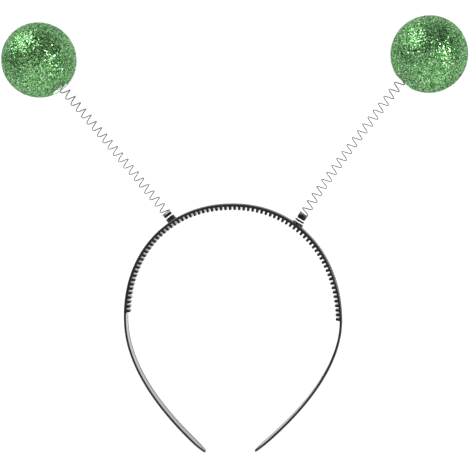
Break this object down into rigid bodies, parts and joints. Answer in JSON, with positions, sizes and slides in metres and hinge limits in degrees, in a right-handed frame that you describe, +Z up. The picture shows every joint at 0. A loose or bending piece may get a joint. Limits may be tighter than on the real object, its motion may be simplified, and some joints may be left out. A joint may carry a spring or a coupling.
{
  "type": "head bopper",
  "caption": "Black comb headband with coil springs on ribbed pegs that carry glitter-coated balls, which bob above the wearer's head.",
  "frame": {"origin": "middle of the footprint, on the surface that the bopper lies on", "axes": "+X from the left bopper to the right one, +Y from the band's tips towards the balls, +Z up from the surface"},
  "size_m": [0.2684, 0.2546, 0.0438],
  "materials": {
    "band_plastic": "gloss",
    "spring_wire": "polished",
    "glitter_foam": "satin"
  },
  "bodies": {
    "band": {"headband": "band_plastic"},
    "bopper_left": {"spring_left": "spring_wire", "ball_left": "glitter_foam"},
    "bopper_right": {"spring_right": "spring_wire", "ball_right": "glitter_foam"}
  },
  "joints": [
    {"name": "left_sway", "type": "hinge", "parent": "band", "child": "bopper_left", "pos_m": [-0.04964, 0.02515, 0.01571], "axis": [0, 0, 1], "range_deg": [-45, 45], "stiffness_Nm_per_rad": 0.0056, "deforming": ["spring_left"]},
    {"name": "right_sway", "type": "hinge", "parent": "band", "child": "bopper_right", "pos_m": [0.04632, 0.02204, 0.01549], "axis": [0, 0, 1], "range_deg": [-45, 45], "stiffness_Nm_per_rad": 0.0056, "deforming": ["spring_right"]}
  ]
}
